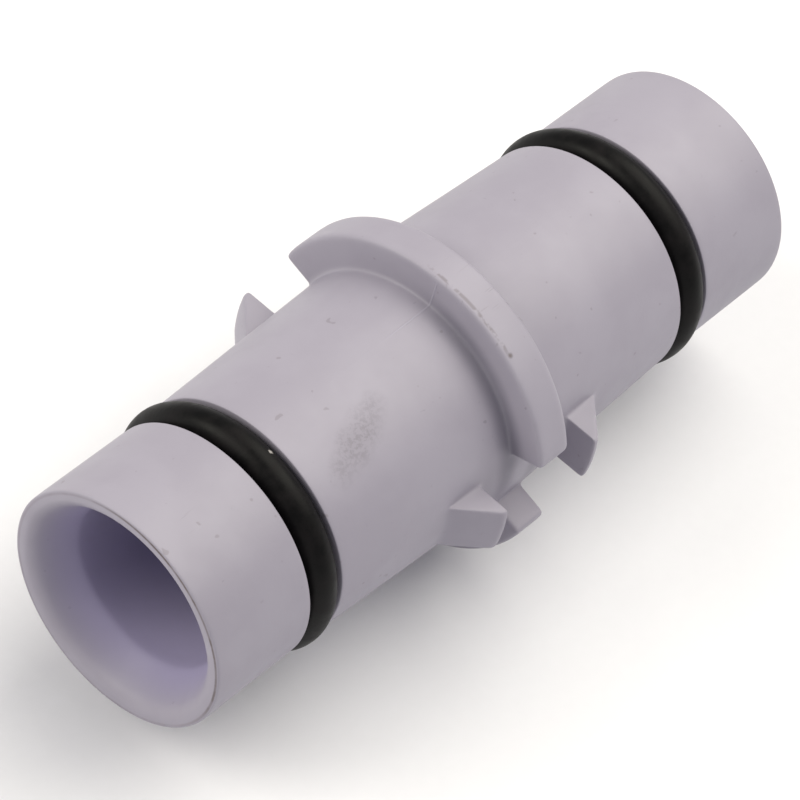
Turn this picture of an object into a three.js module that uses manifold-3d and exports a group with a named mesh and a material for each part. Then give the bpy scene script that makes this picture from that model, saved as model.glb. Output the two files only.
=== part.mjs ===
// A push-fit coupling: a straight double-ended spigot moulded in one piece, with a rubber O-ring in a
// groove near each end, a split collar in the middle and a pair of catch lugs on each side of the collar.
//
// Frame, in millimetres: the bore runs along X, and the origin is on its axis at the middle of the collar.
// The lugs stand out along -Y and +Y, and the two halves of the collar are centred on -Z and +Z.

import * as THREE from "three";
import { mergeVertices } from "three/addons/utils/BufferGeometryUtils.js";
import Module from "manifold-3d";

// Tube
const HALF_LENGTH = 62.2; // middle of the collar to an end face
const BODY_RADIUS = 20.5; // at the collar
const BODY_END_RADIUS = 19.2; // at the inner edge of a groove: the body tapers for the mould's draft
const NOSE_RADIUS = 19; // the spigot beyond the groove
const NOSE_EDGE = 0.5; // chamfer round the end face
const BORE_RADIUS = 13.1;
const MOUTH_RADIUS = 16.4; // inner edge of the end face
const MOUTH_DEPTH = 6.4; // the funnel from the end face down to the bore

// O-ring and its groove
const NOSE_LENGTH = 18.5; // end face to groove
const GROOVE_WIDTH = 6.25;
const GROOVE_FLOOR_RADIUS = 14.3;
const RING_SECTION_RADIUS = 2.65;
const RING_OUTER_RADIUS = 19.9; // stands 0.9 proud of the nose
const RING_OFFSET = 0.38; // both rings lie near the +X wall of their grooves

// Collar
const COLLAR_RADIUS = 26.1;
const COLLAR_WIDTH = 6.2;
const COLLAR_EDGE = 1.1; // rounding of the rim
const COLLAR_FILLET = 1.6; // where the collar's faces meet the tube
const COLLAR_GAP = 33; // degrees left open at each lug

// Catch lugs
const LUG_CATCH_X = 9.6; // face that catches, towards the collar
const LUG_RAMP_X = 16.3; // foot of the ramp, towards the end
const LUG_FOOT_RADIUS = 20.2; // where the ramp runs out into the tube's skin
const LUG_RADIUS = 25.8;
const LUG_LAND = 0.9; // width of the crest
const LUG_WIDTH = 8.6;

// Facets
const ROUND_SEGMENTS = 72;
const RING_SEGMENTS = 14;
const FILLET_STEPS = 4;

// A collar or lug reaches this far into the tube's wall, so that the moulding is one solid.
const ROOT_RADIUS = 17;
const CUTTER_REACH = 50; // half the size of a cutting shape, well clear of the part

const wasm = await Module();
wasm.setup();

function solidFrom(geometry) {
  const bare = geometry.index ? geometry.toNonIndexed() : geometry.clone();
  bare.deleteAttribute("normal");
  bare.deleteAttribute("uv");
  const merged = mergeVertices(bare, 1e-4);
  return new wasm.Manifold(
    new wasm.Mesh({
      numProp: 3,
      vertProperties: merged.attributes.position.array,
      triVerts: new Uint32Array(merged.index.array),
    }),
  );
}

function geometryFrom(solid) {
  const mesh = solid.getMesh();
  const geometry = new THREE.BufferGeometry();
  geometry.setAttribute("position", new THREE.BufferAttribute(mesh.vertProperties, 3));
  geometry.setIndex(new THREE.BufferAttribute(mesh.triVerts, 1));
  geometry.computeVertexNormals();
  return geometry;
}

// Turns a closed outline of [x, radius] points round the X axis.
function turned(outline) {
  const profile = outline.map(([x, radius]) => new THREE.Vector2(radius, x));
  profile.push(profile[0].clone());
  return new THREE.LatheGeometry(profile, ROUND_SEGMENTS).rotateZ(-Math.PI / 2);
}

// Points of a quarter round about a centre, from one angle to another in degrees.
function quarter(centreX, centreRadius, radius, from, to) {
  const points = [];
  for (let step = 0; step <= FILLET_STEPS; step++) {
    const angle = THREE.MathUtils.degToRad(from + ((to - from) * step) / FILLET_STEPS);
    points.push([centreX + radius * Math.cos(angle), centreRadius + radius * Math.sin(angle)]);
  }
  return points;
}

// The outline's other half, mirrored about the middle of the collar, comes first.
function mirrored(half) {
  const other = half.map(([x, radius]) => [-x, radius]).reverse();
  return other.concat(half);
}

function tube() {
  const grooveOuter = HALF_LENGTH - NOSE_LENGTH;
  const grooveInner = grooveOuter - GROOVE_WIDTH;
  const half = [
    [COLLAR_WIDTH / 2, BODY_RADIUS],
    [grooveInner, BODY_END_RADIUS],
    [grooveInner, GROOVE_FLOOR_RADIUS],
    [grooveOuter, GROOVE_FLOOR_RADIUS],
    [grooveOuter, NOSE_RADIUS],
    [HALF_LENGTH - NOSE_EDGE, NOSE_RADIUS],
    [HALF_LENGTH, NOSE_RADIUS - NOSE_EDGE],
    [HALF_LENGTH, MOUTH_RADIUS],
    [HALF_LENGTH - MOUTH_DEPTH, BORE_RADIUS],
  ];
  return solidFrom(turned(mirrored(half)));
}

function collar() {
  const face = COLLAR_WIDTH / 2;
  const half = [
    ...quarter(face - COLLAR_EDGE, COLLAR_RADIUS - COLLAR_EDGE, COLLAR_EDGE, 90, 0),
    ...quarter(face + COLLAR_FILLET, BODY_RADIUS + COLLAR_FILLET, COLLAR_FILLET, 180, 270),
    [face + COLLAR_FILLET, ROOT_RADIUS],
  ];
  const ring = solidFrom(turned(mirrored(half)));
  return ring.subtract(gap(-1)).subtract(gap(1));
}

// A wedge along X that opens the collar at a lug, on the -Y side or the +Y side.
function gap(side) {
  const half = THREE.MathUtils.degToRad(COLLAR_GAP / 2);
  const x = CUTTER_REACH * Math.cos(half);
  const y = CUTTER_REACH * Math.sin(half);
  const wedge = new THREE.Shape([
    new THREE.Vector2(0, 0),
    new THREE.Vector2(x, -y),
    new THREE.Vector2(x, y),
  ]);
  const geometry = new THREE.ExtrudeGeometry(wedge, { depth: 2 * CUTTER_REACH, bevelEnabled: false });
  geometry.translate(0, 0, -CUTTER_REACH);
  geometry.rotateY(Math.PI / 2); // the wedge's length now runs along X
  geometry.rotateX((side * Math.PI) / 2);
  return solidFrom(geometry);
}

// The two opposite lugs of one end. Each is a short piece of a barbed ring, cut off by two flat sides: its
// ramp rises from the end side to the crest, and drops square to the catch face on the collar's side.
function lugs(end) {
  const outline = [
    [end * LUG_CATCH_X, ROOT_RADIUS],
    [end * LUG_RAMP_X, ROOT_RADIUS],
    [end * LUG_RAMP_X, LUG_FOOT_RADIUS],
    [end * (LUG_CATCH_X + LUG_LAND), LUG_RADIUS],
    [end * LUG_CATCH_X, LUG_RADIUS],
  ];
  if (end > 0) {
    outline.reverse(); // keeps the faces pointing out
  }
  const barb = solidFrom(turned(outline));
  const sides = solidFrom(new THREE.BoxGeometry(2 * CUTTER_REACH, 2 * CUTTER_REACH, LUG_WIDTH));
  return barb.intersect(sides);
}

function couplingBody() {
  const moulding = tube().add(collar()).add(lugs(-1)).add(lugs(1));
  return geometryFrom(moulding);
}

function ring(end) {
  const middle = end * (HALF_LENGTH - NOSE_LENGTH - GROOVE_WIDTH / 2);
  const centreRadius = RING_OUTER_RADIUS - RING_SECTION_RADIUS;
  const geometry = new THREE.TorusGeometry(centreRadius, RING_SECTION_RADIUS, RING_SEGMENTS, ROUND_SEGMENTS);
  geometry.rotateY(Math.PI / 2);
  geometry.translate(middle + RING_OFFSET, 0, 0);
  return geometryFrom(solidFrom(geometry));
}

const whitePlastic = new THREE.MeshStandardMaterial({ color: 0xd9d4da, roughness: 0.5, metalness: 0 });
const blackRubber = new THREE.MeshStandardMaterial({ color: 0x141315, roughness: 0.45, metalness: 0 });

const coupling = new THREE.Group();

function place(name, geometry, material) {
  const mesh = new THREE.Mesh(geometry, material);
  mesh.name = name;
  coupling.add(mesh);
}

place("coupling_body", couplingBody(), whitePlastic);
place("o_ring_left", ring(-1), blackRubber);
place("o_ring_right", ring(1), blackRubber);

export default coupling;
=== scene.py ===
# Push fit coupling: the finished surface of its moulding and its two O-rings, made round the CAD frame.
import math

import bmesh
import bpy
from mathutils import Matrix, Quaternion, Vector


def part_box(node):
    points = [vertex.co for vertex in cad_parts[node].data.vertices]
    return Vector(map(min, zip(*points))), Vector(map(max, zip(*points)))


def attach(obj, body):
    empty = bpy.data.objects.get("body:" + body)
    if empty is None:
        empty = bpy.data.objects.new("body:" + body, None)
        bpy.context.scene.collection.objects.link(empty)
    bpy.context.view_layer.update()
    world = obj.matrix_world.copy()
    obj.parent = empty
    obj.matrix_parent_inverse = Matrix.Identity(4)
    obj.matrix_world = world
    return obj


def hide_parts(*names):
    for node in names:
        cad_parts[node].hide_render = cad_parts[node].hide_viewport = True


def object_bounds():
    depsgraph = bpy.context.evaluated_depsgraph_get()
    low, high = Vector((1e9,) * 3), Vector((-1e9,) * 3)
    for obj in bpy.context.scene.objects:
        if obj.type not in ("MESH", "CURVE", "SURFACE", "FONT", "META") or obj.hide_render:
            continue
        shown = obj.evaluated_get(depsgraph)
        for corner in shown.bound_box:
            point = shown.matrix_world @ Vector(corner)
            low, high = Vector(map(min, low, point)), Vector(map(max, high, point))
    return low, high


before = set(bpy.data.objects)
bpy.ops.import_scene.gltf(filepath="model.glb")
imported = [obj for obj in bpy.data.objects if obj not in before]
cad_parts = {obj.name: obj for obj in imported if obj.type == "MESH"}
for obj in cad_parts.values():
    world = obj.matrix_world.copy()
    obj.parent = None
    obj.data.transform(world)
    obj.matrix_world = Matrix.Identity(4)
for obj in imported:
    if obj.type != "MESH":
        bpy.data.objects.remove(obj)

cad_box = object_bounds()


# ------------------------------------------------------------------------------------------------------------
# Coupling body
# One injection moulding in a pale lavender-white plastic, open right through. The collar and the four catch
# lugs belong to it, so they are drawn out of the tube's own skin and run into it with moulded fillets.
# ------------------------------------------------------------------------------------------------------------

MM = 0.001  # this section's sizes are in millimetres
MERGE_GAP = 0.01

body_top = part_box("coupling_body")[1] / MM
HALF_LENGTH = body_top.x
COLLAR_RADIUS = body_top.z
LUG_RADIUS = body_top.y

BODY_RADIUS = 20.5  # at the collar
BODY_END_RADIUS = 19.2  # at the groove, after the mould's draft
NOSE_RADIUS = 19.0
NOSE_ROUND = 0.55
BORE_RADIUS = 13.1
MOUTH_RADIUS = 16.4
MOUTH_DEPTH = 6.4
MOUTH_ROUND = 1.3
MOUTH_LIP = 1.2  # width of the rounding between the end face and the funnel
GROOVE_NEAR = 37.45
GROOVE_FAR = 43.7
GROOVE_FLOOR_RADIUS = 14.3
GROOVE_EDGE = 0.38  # rounding of the groove's lips

COLLAR_FACE = 3.1
COLLAR_ROUND = 1.25
COLLAR_FILLET = 1.0
COLLAR_END = 16.5  # degrees from the middle of a lug to the end of a collar half

LUG_CATCH = 9.6
LUG_LAND = 0.9
LUG_FOOT = 16.3
LUG_SIDE = 12.3  # degrees from the middle of a lug to its side
LUG_ROUND = 1.1
LUG_CREST_ROUND = 0.3
LUG_FILLET = 1.1

# Columns of the skin between the middle of a lug and the middle of a collar half, in degrees. They crowd
# together where a lug or a collar half ends.
PLAIN_COLUMNS = 12
crowded = [0, 5.0, 9.3, LUG_SIDE, (LUG_SIDE + COLLAR_END) / 2, COLLAR_END, 20.0, 24]
plain_step = (90 - crowded[-1]) / PLAIN_COLUMNS
quarter = crowded + [crowded[-1] + plain_step * (n + 1) for n in range(PLAIN_COLUMNS)]


def skin_radius(x):
    """Radius of the tube's skin between the collar and a groove, which tapers for the mould's draft."""
    share = max(0, abs(x) - COLLAR_FACE) / (GROOVE_NEAR - COLLAR_FACE)
    return BODY_RADIUS + (BODY_END_RADIUS - BODY_RADIUS) * share


def ramp_radius(x):
    """Outer radius of a lug: a narrow crest beside the catch face, then a straight ramp down to the skin."""
    crest_end = LUG_CATCH + LUG_LAND
    share = max(0, abs(x) - crest_end) / (LUG_FOOT - crest_end)
    return LUG_RADIUS + (skin_radius(LUG_FOOT) - LUG_RADIUS) * share


skin_rows = [
    COLLAR_FACE - COLLAR_ROUND,
    COLLAR_FACE,
    COLLAR_FACE + COLLAR_FILLET,
    LUG_CATCH - LUG_FILLET,
    LUG_CATCH,
    LUG_CATCH + LUG_CREST_ROUND,
    LUG_CATCH + LUG_LAND,
    LUG_CATCH + LUG_LAND + LUG_CREST_ROUND * 3,
    (LUG_CATCH + LUG_LAND + LUG_FOOT) / 2,
    LUG_FOOT - LUG_FILLET,
    LUG_FOOT,
    LUG_FOOT + LUG_FILLET,
    (LUG_FOOT + GROOVE_NEAR) / 2,
    GROOVE_NEAR - GROOVE_EDGE,
    GROOVE_NEAR,
]
funnel = Vector((-MOUTH_DEPTH, BORE_RADIUS - MOUTH_RADIUS)).normalized()
mouth = Vector((HALF_LENGTH, MOUTH_RADIUS))
throat = Vector((HALF_LENGTH - MOUTH_DEPTH, BORE_RADIUS))
half_outline = [(x, skin_radius(x)) for x in skin_rows] + [
    (GROOVE_NEAR, BODY_END_RADIUS - GROOVE_EDGE),
    (GROOVE_NEAR, GROOVE_FLOOR_RADIUS),
    (GROOVE_FAR, GROOVE_FLOOR_RADIUS),
    (GROOVE_FAR, NOSE_RADIUS - GROOVE_EDGE),
    (GROOVE_FAR, NOSE_RADIUS),
    (GROOVE_FAR + GROOVE_EDGE, NOSE_RADIUS),
    (HALF_LENGTH - NOSE_ROUND, NOSE_RADIUS),
    (HALF_LENGTH, NOSE_RADIUS),
    (HALF_LENGTH, NOSE_RADIUS - NOSE_ROUND),
    # Four points round the end face over into the funnel.
    (HALF_LENGTH, MOUTH_RADIUS + MOUTH_LIP),
    (HALF_LENGTH - MOUTH_LIP / 6, MOUTH_RADIUS + MOUTH_LIP / 2),
    tuple(mouth + funnel * MOUTH_LIP * 0.7 + Vector((0, MOUTH_LIP / 6))),
    tuple(mouth + funnel * MOUTH_LIP * 1.6),
    tuple(throat - funnel * MOUTH_ROUND),
    tuple(throat),
    (throat.x - MOUTH_ROUND, BORE_RADIUS),
]
mirrored = [(-x, radius) for x, radius in reversed(half_outline)]
outline = mirrored + [(0, BODY_RADIUS)] + half_outline + [(0, BORE_RADIUS)]

moulding = bmesh.new()
points = [moulding.verts.new((x, radius, 0)) for x, radius in outline]
section = points + [moulding.edges.new(pair) for pair in zip(points, points[1:] + points[:1])]
steps = [b - a for a, b in zip(quarter, quarter[1:])]
for step in (steps + steps[::-1]) * 2:
    turned = bmesh.ops.spin(
        moulding, geom=section, cent=(0, 0, 0), axis=(1, 0, 0), angle=math.radians(step), steps=1
    )
    section = turned["geom_last"]
bmesh.ops.remove_doubles(moulding, verts=moulding.verts, dist=MERGE_GAP)


def from_lug(point):
    """Degrees round the bore from the middle of the nearest lug, between 0 and 90."""
    return math.degrees(math.atan2(abs(point.z), abs(point.y)))


def draw_out(patch, shares, place):
    """Draws a patch of the skin outwards in steps. place(point, share) moves a point its share of the way."""
    for share in shares:
        drawn = bmesh.ops.extrude_face_region(moulding, geom=patch)["geom"]
        left = [face for face in patch if face.is_valid]
        bmesh.ops.delete(moulding, geom=left, context="FACES")
        patch = [item for item in drawn if isinstance(item, bmesh.types.BMFace)]
        for item in drawn:
            if isinstance(item, bmesh.types.BMVert):
                place(item.co, share)


def place_collar(point, share):
    radius = skin_radius(point.x) + share * (COLLAR_RADIUS - skin_radius(point.x))
    scale = radius / math.hypot(point.y, point.z)
    point.y *= scale
    point.z *= scale


def place_lug(point, share):
    radius = skin_radius(point.x) + share * (ramp_radius(point.x) - skin_radius(point.x))
    point.y = math.copysign(math.sqrt(radius**2 - point.z**2), point.y)


def skin_patch(low, high, start, end):
    """Faces of the tube's skin from low to high along the bore, on either side of the collar, and from start
    to end degrees off a lug's middle."""
    found = []
    for face in moulding.faces:
        middle = face.calc_center_median()
        outside = math.hypot(middle.y, middle.z) > BODY_END_RADIUS
        if outside and low < abs(middle.x) < high and start < from_lug(middle) < end:
            found.append(face)
    return found


collar_height = COLLAR_RADIUS - BODY_RADIUS
draw_out(
    skin_patch(-1, COLLAR_FACE, COLLAR_END, 91),
    (COLLAR_FILLET / collar_height, 1 - COLLAR_ROUND / collar_height, 1),
    place_collar,
)
lug_height = LUG_RADIUS - BODY_RADIUS
draw_out(
    skin_patch(LUG_CATCH, LUG_FOOT, -1, LUG_SIDE),
    (LUG_FILLET / lug_height, 1 - LUG_ROUND / lug_height, 1),
    place_lug,
)
bmesh.ops.remove_doubles(moulding, verts=moulding.verts, dist=MERGE_GAP)
bmesh.ops.recalc_face_normals(moulding, faces=moulding.faces)
for face in moulding.faces:
    face.smooth = True
crease = moulding.edges.layers.float.new("crease_edge")
for edge in moulding.edges:
    at_floor = all(abs(math.hypot(v.co.y, v.co.z) - GROOVE_FLOOR_RADIUS) < MERGE_GAP for v in edge.verts)
    if at_floor and abs(edge.verts[0].co.x - edge.verts[1].co.x) < MERGE_GAP:
        edge[crease] = 1
        edge.smooth = False
bmesh.ops.scale(moulding, verts=moulding.verts, vec=(MM, MM, MM))


def piece_from(built, name, finish, body, node):
    """A finished piece: its mesh and material, the body it rides on and the CAD node it stands for."""
    mesh = bpy.data.meshes.new(name)
    built.to_mesh(mesh)
    built.free()
    mesh.materials.append(finish)
    piece = bpy.data.objects.new(name, mesh)
    bpy.context.scene.collection.objects.link(piece)
    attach(piece, body)
    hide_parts(node)
    return piece


class Wire:
    """An output of a node in a finish. Sums with numbers and other wires add the Math nodes they need."""

    def __init__(self, finish, socket):
        self.finish = finish
        self.socket = socket

    def maths(self, operation, *terms):
        return self.finish.node("ShaderNodeMath", {"operation": operation}, dict(enumerate(terms)))

    def __add__(self, other):
        return self.maths("ADD", self, other)

    def __sub__(self, other):
        return self.maths("SUBTRACT", self, other)

    def __rsub__(self, other):
        return self.maths("SUBTRACT", other, self)

    def __mul__(self, other):
        return self.maths("MULTIPLY", self, other)

    def __pow__(self, other):
        return self.maths("POWER", self, other)

    def __abs__(self):
        return self.maths("ABSOLUTE", self)

    __radd__ = __add__
    __rmul__ = __mul__

    def fade(self, start, end):
        """1 up to start, easing down to 0 at end; with start above end it rises instead."""
        ranges = {"From Min": start, "From Max": end, "To Min": 1.0, "To Max": 0.0}
        settings = {"interpolation_type": "SMOOTHSTEP"}
        return self.finish.node("ShaderNodeMapRange", settings, {"Value": self, **ranges})


class Finish:
    """A material, the method that adds a node to it, and the nodes that the finishes here share."""

    def __init__(self, name):
        self.material = bpy.data.materials.new(name)
        self.material.use_nodes = True
        self.tree = self.material.node_tree
        self.tree.nodes.clear()

    def node(self, kind, settings, inputs, output=0):
        made = self.tree.nodes.new(kind)
        for key, value in settings.items():
            setattr(made, key, value)
        for key, value in inputs.items():
            if isinstance(value, Wire):
                self.tree.links.new(value.socket, made.inputs[key])
            else:
                made.inputs[key].default_value = value
        return Wire(self, made.outputs[output])

    def millimetres(self):
        """The point on the piece, in millimetres."""
        point = self.node("ShaderNodeTexCoord", {}, {}, "Object")
        return self.node("ShaderNodeVectorMath", {"operation": "SCALE"}, {0: point, "Scale": 1 / MM})

    def noise(self, point, scale, detail=2.0, roughness=0.5):
        """Noise about 0.5, with scale features to each millimetre."""
        values = {"Vector": point, "Scale": scale, "Detail": detail, "Roughness": roughness}
        return self.node("ShaderNodeTexNoise", {}, values)

    def gap(self, point, place):
        """How far a point is from a place, in millimetres."""
        return self.node("ShaderNodeVectorMath", {"operation": "DISTANCE"}, {0: point, 1: place}, "Value")

    def tint(self, share, start, end):
        """The colour start where share is 0, and the colour end where it is 1."""
        values = {"Factor": share, 6: start, 7: end}
        return self.node("ShaderNodeMix", {"data_type": "RGBA"}, values, 2)

    def surface(self, colour, roughness, height, depth, specular):
        """The shader, with height as a relief of that depth in metres."""
        relief = {"Height": height, "Strength": 1.0, "Distance": depth}
        values = {
            "Base Color": colour,
            "Roughness": roughness,
            "Normal": self.node("ShaderNodeBump", {}, relief),
            "Specular IOR Level": specular,
        }
        shader = self.node("ShaderNodeBsdfPrincipled", {}, values)
        output = self.tree.nodes.new("ShaderNodeOutputMaterial")
        self.tree.links.new(shader.socket, output.inputs["Surface"])
        return self.material


PLASTIC = (0.324, 0.303, 0.365, 1)
PLASTIC_SHADE = (0.305, 0.284, 0.344, 1)
# The colour of the painted shade in the bore.
BORE_PAINTED_SHADE = (0.302, 0.275, 0.41, 1)
GRIME = (0.085, 0.062, 0.058, 1)
SCUFF = (0.12, 0.108, 0.115, 1)
# The colour of the painted shade in the collar's root.
ROOT_PAINTED_SHADE = (0.115, 0.108, 0.145, 1)
# The colour of the painted highlight along the mould's parting line.
PARTING_HIGHLIGHT = (0.37, 0.35, 0.43, 1)

# Where the marks are: ALONG the bore in millimetres, and ROUND it in degrees from the top towards the front.
SMUDGE_ALONG = -26.6
SMUDGE_ROUND = 25.5
SMUDGE_LENGTH = 6.8
SMUDGE_SPREAD = 9.5  # degrees
SMUDGE_SLANT = 1.1  # degrees round for each millimetre along
ROOT_ALONG = 3.5
ROOT_ROUND = 50
GRIME_RADIUS = NOSE_RADIUS - 0.5
GRIME_ROUND = 45
RIM_SCUFF_ALONG = -1.85
RIM_SCUFF_ROUND = 13
PIT = (-2.0, -13.9, 21.9)  # millimetres
NOSE_HAIRS_ALONG = -58.6
NOSE_HAIRS_ROUND = 8
RIM_HAIRS_ROUND = 6
HAIR_SLANT = 0.5  # radians
HAIR_STRETCH = (0.12, 3.0, 3.0)

# How strongly each mark tints the plastic, from 0 to 1.
SPECK_TINT = 0.25
# Strength of the painted shade in the collar's root.
ROOT_SHADE_TINT = 0.5
SMUDGE_TINT = 0.36
GRIME_TINT = 0.95
RIM_SCUFF_TINT = 0.42
PIT_TINT = 0.7
NOSE_HAIR_TINT = 0.35
RIM_HAIR_TINT = 0.3
# Strength of the painted highlight along the parting line.
PARTING_HIGHLIGHT_TINT = 0.45

PLASTIC_ROUGHNESS = 0.44
ROUGHNESS_SPREAD = 0.1
SMUDGE_ROUGHNESS = 0.15  # added where it is smudged
PLASTIC_SPECULAR = 0.4
RELIEF_DEPTH = 0.00004  # metres

plastic = Finish("lavender_white_plastic")
at = plastic.millimetres()
parts_of = {axis: plastic.node("ShaderNodeSeparateXYZ", {}, {0: at}, axis) for axis in "XYZ"}
along = parts_of["X"]
radius = (parts_of["Y"] ** 2 + parts_of["Z"] ** 2) ** 0.5
round_bore = along.maths("ARCTAN2", parts_of["Y"] * -1, parts_of["Z"]) * math.degrees(1)

mottle = plastic.noise(at, 0.09, 3.0)
grain = plastic.noise(at, 2.2, 2.0)
colour = plastic.tint(mottle.fade(0.35, 0.65), PLASTIC, PLASTIC_SHADE)

# Painted shade in the bore: a darker, bluer tint, which fades out along the funnels.
bore_shade = radius.fade(13.4, 16.9)
colour = plastic.tint(bore_shade, colour, BORE_PAINTED_SHADE)

# A few faint specks of dirt on the outside.
specks = plastic.noise(at, 0.9, 0.0).fade(0.87, 0.8) * (1 - bore_shade)
colour = plastic.tint(specks * SPECK_TINT, colour, GRIME)

# Painted shade: a dark bluish tint in the front root of the collar's faces, where the corner lies in shade.
root_shade = abs(abs(along) - ROOT_ALONG).fade(0.2, 3.0) * radius.fade(20.9, 23.4)
root_shade = root_shade * abs(round_bore - ROOT_ROUND).fade(35, 62)
colour = plastic.tint(root_shade * ROOT_SHADE_TINT, colour, ROOT_PAINTED_SHADE)

# A rubbed grey smudge on the left half of the tube.
from_smudge = along - SMUDGE_ALONG
smudge_along = from_smudge * (1 / SMUDGE_LENGTH)
smudge_round = (round_bore - SMUDGE_ROUND + from_smudge * SMUDGE_SLANT) * (1 / SMUDGE_SPREAD)
ragged = plastic.noise(at, 0.35, 3.0) * 1.4 - 0.7
smudge = (smudge_along**2 + smudge_round**2 + ragged).fade(-0.2, 1.5)
stipple = plastic.noise(at, 1.3, 4.0, 0.75).fade(0.56, 0.46)
smudge = smudge * (0.4 + 0.6 * stipple)
colour = plastic.tint(smudge * SMUDGE_TINT, colour, SCUFF)

# A brownish line of grime round each end face, just inside its rounded outer edge.
end_line = abs(radius - GRIME_RADIUS).fade(0.06, 0.3)
end_line = end_line * abs(along).fade(HALF_LENGTH - 0.2, HALF_LENGTH - 0.6)
end_line = end_line * (0.25 + 0.75 * abs(round_bore - GRIME_ROUND).fade(35, 80))
end_line = end_line * (0.65 + 0.35 * plastic.noise(at, 0.3, 3.0, 0.6).fade(0.6, 0.42))
colour = plastic.tint(end_line * GRIME_TINT, colour, GRIME)

# Long brownish scuffs that run along the left edge of the collar's rim, and a pit where they end.
wander = plastic.noise(at, 0.15) * 0.8
scuff_line = abs(along - RIM_SCUFF_ALONG + wander).fade(0.1, 0.42)
scuff_line = scuff_line * radius.fade(COLLAR_RADIUS - 0.3, COLLAR_RADIUS - 1.6)
scuff_line = scuff_line * abs(round_bore - RIM_SCUFF_ROUND).fade(15, 22)
scuff_line = scuff_line * plastic.noise(at, 0.35, 3.0, 0.7).fade(0.56, 0.44)
pit = plastic.gap(at, PIT).fade(0.1, 0.6)
colour = plastic.tint(scuff_line * RIM_SCUFF_TINT + pit * PIT_TINT, colour, GRIME)

# Hair scratches: thin lines that wander along the bore, in patches on the near nose and the collar's rim.
stretched = {"Vector": at, "Rotation": (0.0, 0.0, HAIR_SLANT), "Scale": HAIR_STRETCH}
hairs = plastic.noise(plastic.node("ShaderNodeMapping", {}, stretched), 0.9, 2.0, 0.6).fade(0.72, 0.64)
on_nose = abs(along - NOSE_HAIRS_ALONG) * 0.2 + abs(round_bore - NOSE_HAIRS_ROUND) * 0.07
on_nose = on_nose.fade(0.4, 1.2)
on_rim = radius.fade(COLLAR_RADIUS - 0.2, COLLAR_RADIUS - 0.9)
on_rim = on_rim * abs(round_bore - RIM_HAIRS_ROUND).fade(8, 16)
colour = plastic.tint(hairs * (on_nose * NOSE_HAIR_TINT + on_rim * RIM_HAIR_TINT), colour, SCUFF)

# The mould's parting line, a fine raised line along the top and the bottom of the tube. It is crispest just
# left of the collar, and fades out up the collar's faces.
near_collar = along.fade(-9, -14) * along.fade(2.4, 3.0)
parting = abs(parts_of["Y"]).fade(0.06, 0.2) * radius.fade(19.9, 19.3)
parting = parting * (0.1 + 0.9 * near_collar) * radius.fade(24.6, 25.9)
# A painted highlight: the parting line is tinted lighter, while its relief is real.
colour = plastic.tint(parting * PARTING_HIGHLIGHT_TINT, colour, PARTING_HIGHLIGHT)
relief = grain * 0.12 + parting * 1.2 + plastic.noise(at, 0.5, 2.0) * 0.5
roughness = PLASTIC_ROUGHNESS + ROUGHNESS_SPREAD * plastic.noise(at, 0.4, 2.0)
roughness = roughness + smudge * SMUDGE_ROUGHNESS
body_finish = plastic.surface(colour, roughness, relief, RELIEF_DEPTH, PLASTIC_SPECULAR)

coupling_body = piece_from(moulding, "moulded_coupling", body_finish, "body", "coupling_body")
smoothing = coupling_body.modifiers.new("smoothing", "SUBSURF")
smoothing.levels = 2
smoothing.render_levels = 2


# ------------------------------------------------------------------------------------------------------------
# O-rings
# Two black rubber rings, moulded round in section and stretched over the noses into the grooves, where their
# own tension holds them.
# ------------------------------------------------------------------------------------------------------------

RING_SECTION_STEPS = 40
RING_STEPS = 144
RUBBER = (0.0022, 0.0021, 0.0023, 1)
RUBBER_DUST = (0.0105, 0.0085, 0.0095, 1)
NICK = (0.36, 0.34, 0.33, 1)
NICK_PLACE = (-39.0, -2.9, 19.45)  # millimetres
DUST_TINT = 0.5
RUBBER_ROUGHNESS = 0.4
DUST_ROUGHNESS = 0.14  # added where it is dusty
RUBBER_SPECULAR = 0.12
RUBBER_RELIEF = 0.00002  # metres

rubber = Finish("black_seal_rubber")
at = rubber.millimetres()
dust = rubber.noise(at, 0.3, 4.0, 0.65).fade(0.7, 0.35)
nick_gap = rubber.gap(at, NICK_PLACE) + rubber.noise(at, 3.0) * 0.5 - 0.25
rubber_colour = rubber.tint(dust * DUST_TINT, RUBBER, RUBBER_DUST)
rubber_colour = rubber.tint(nick_gap.fade(0.12, 0.48), rubber_colour, NICK)
rubber_roughness = RUBBER_ROUGHNESS + DUST_ROUGHNESS * dust
rubber_grain = rubber.noise(at, 1.5, 3.0)
rubber_finish = rubber.surface(rubber_colour, rubber_roughness, rubber_grain, RUBBER_RELIEF, RUBBER_SPECULAR)

for side in ("left", "right"):
    low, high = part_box(f"o_ring_{side}")
    section_radius = (high.x - low.x) / 2
    ring = bmesh.new()
    circle = bmesh.ops.create_circle(ring, segments=RING_SECTION_STEPS, radius=section_radius)
    place = Vector(((low.x + high.x) / 2, high.z - section_radius, 0))
    bmesh.ops.translate(ring, verts=circle["verts"], vec=place)
    bmesh.ops.spin(
        ring,
        geom=ring.verts[:] + ring.edges[:],
        cent=(0, 0, 0),
        axis=(1, 0, 0),
        angle=math.tau,
        steps=RING_STEPS,
        use_merge=True,
    )
    bmesh.ops.recalc_face_normals(ring, faces=ring.faces)
    for face in ring.faces:
        face.smooth = True
    piece_from(ring, f"rubber_ring_{side}", rubber_finish, f"{side}_seal", f"o_ring_{side}")


# ------------------------------------------------------------------------------------------------------------
# Floor and light
# A plain pale floor under the collar, a dim white room all round, and two soft square lights: a large one
# overhead and a smaller one at the back, beyond the left end.
# ------------------------------------------------------------------------------------------------------------

FLOOR_SIZE = 8.0  # metres
ROOM_STRENGTH = 0.4
ROOM_COLOUR = (0.98, 0.98, 1.0, 1)
LAMP_COLOUR = (1.0, 0.97, 0.86)
PAPER = (0.78, 0.78, 0.82, 1)
PAPER_PALE = (0.8, 0.8, 0.84, 1)
PAPER_ROUGHNESS = 0.9

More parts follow.
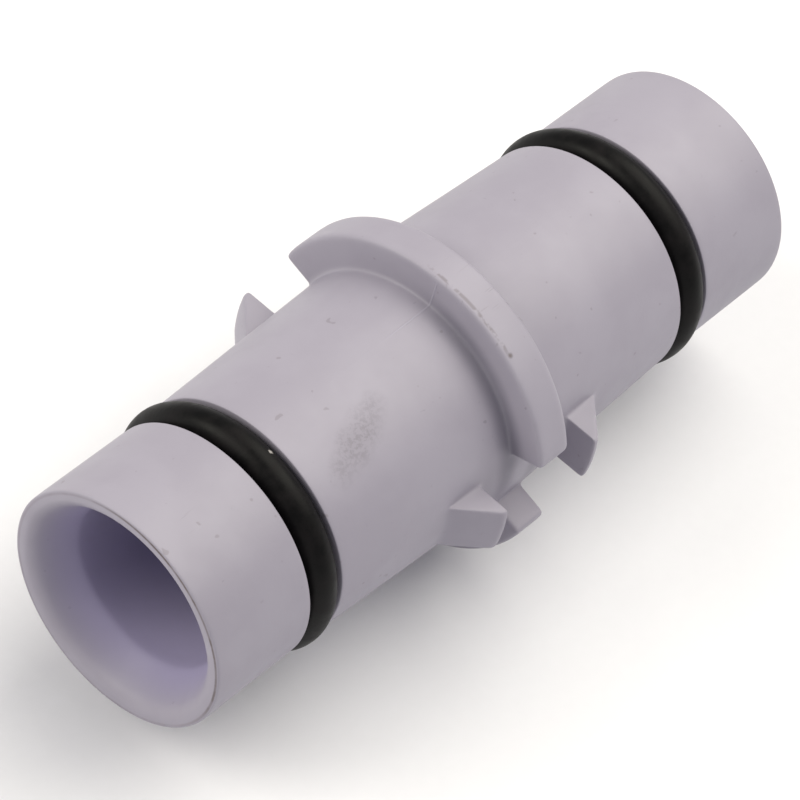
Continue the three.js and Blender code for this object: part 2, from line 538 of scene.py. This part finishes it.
floor_mesh = bmesh.new()
bmesh.ops.create_grid(floor_mesh, x_segments=1, y_segments=1, size=FLOOR_SIZE / 2)
bmesh.ops.translate(floor_mesh, verts=floor_mesh.verts, vec=(0, 0, cad_box[0].z))
floor_data = bpy.data.meshes.new("floor")
floor_mesh.to_mesh(floor_data)
floor_mesh.free()
floor = bpy.data.objects.new("floor", floor_data)
bpy.context.scene.collection.objects.link(floor)
paper = Finish("white_paper")
floor_grain = paper.noise(paper.millimetres(), 0.5)
floor_colour = paper.tint(floor_grain, PAPER, PAPER_PALE)
floor_data.materials.append(paper.surface(floor_colour, PAPER_ROUGHNESS, floor_grain, 0.0, 0.0))

room = bpy.data.worlds.new("white_room")
room.use_nodes = True
room.node_tree.nodes["Background"].inputs["Color"].default_value = ROOM_COLOUR
room.node_tree.nodes["Background"].inputs["Strength"].default_value = ROOM_STRENGTH
bpy.context.scene.world = room


def soft_light(name, place, size, power):
    """A square soft light that faces the coupling."""
    lamp = bpy.data.lights.new(name, "AREA")
    lamp.size = size
    lamp.energy = power
    lamp.color = LAMP_COLOUR
    holder = bpy.data.objects.new(name, lamp)
    bpy.context.scene.collection.objects.link(holder)
    holder.location = place
    holder.rotation_mode = "QUATERNION"
    holder.rotation_quaternion = (-Vector(place)).to_track_quat("-Z", "Y")


soft_light("overhead", place=(0.4, -0.12, 0.78), size=1.0, power=10.5)
soft_light("window", place=(-0.7, 0.6, 0.6), size=0.6, power=7.5)


# ------------------------------------------------------------------------------------------------------------
# Camera
# It looks down on the coupling from beyond its left end, from well away, and leans to one side.
# ------------------------------------------------------------------------------------------------------------

AIM = Vector((-0.00254, 0.0002, -0.00181))  # metres
DISTANCE = 0.6307  # metres
AZIMUTH = math.radians(-61.85)
ELEVATION = math.radians(49.86)
LEAN = math.radians(17.86)
LENS = 197.06  # focal length in millimetres
SENSOR_WIDTH = 36.0  # millimetres
NEAR_CLIP = 0.01  # metres

eye = bpy.data.cameras.new("camera")
eye.lens = LENS
eye.sensor_width = SENSOR_WIDTH
eye.clip_start = NEAR_CLIP
camera = bpy.data.objects.new("camera", eye)
bpy.context.scene.collection.objects.link(camera)
back = Vector(
    (
        math.sin(AZIMUTH) * math.cos(ELEVATION),
        -math.cos(AZIMUTH) * math.cos(ELEVATION),
        math.sin(ELEVATION),
    )
)
camera.location = AIM + back * DISTANCE
camera.rotation_mode = "QUATERNION"
camera.rotation_quaternion = (-back).to_track_quat("-Z", "Y") @ Quaternion((0, 0, 1), LEAN)
bpy.context.scene.camera = camera
bpy.context.scene.view_settings.view_transform = "Standard"
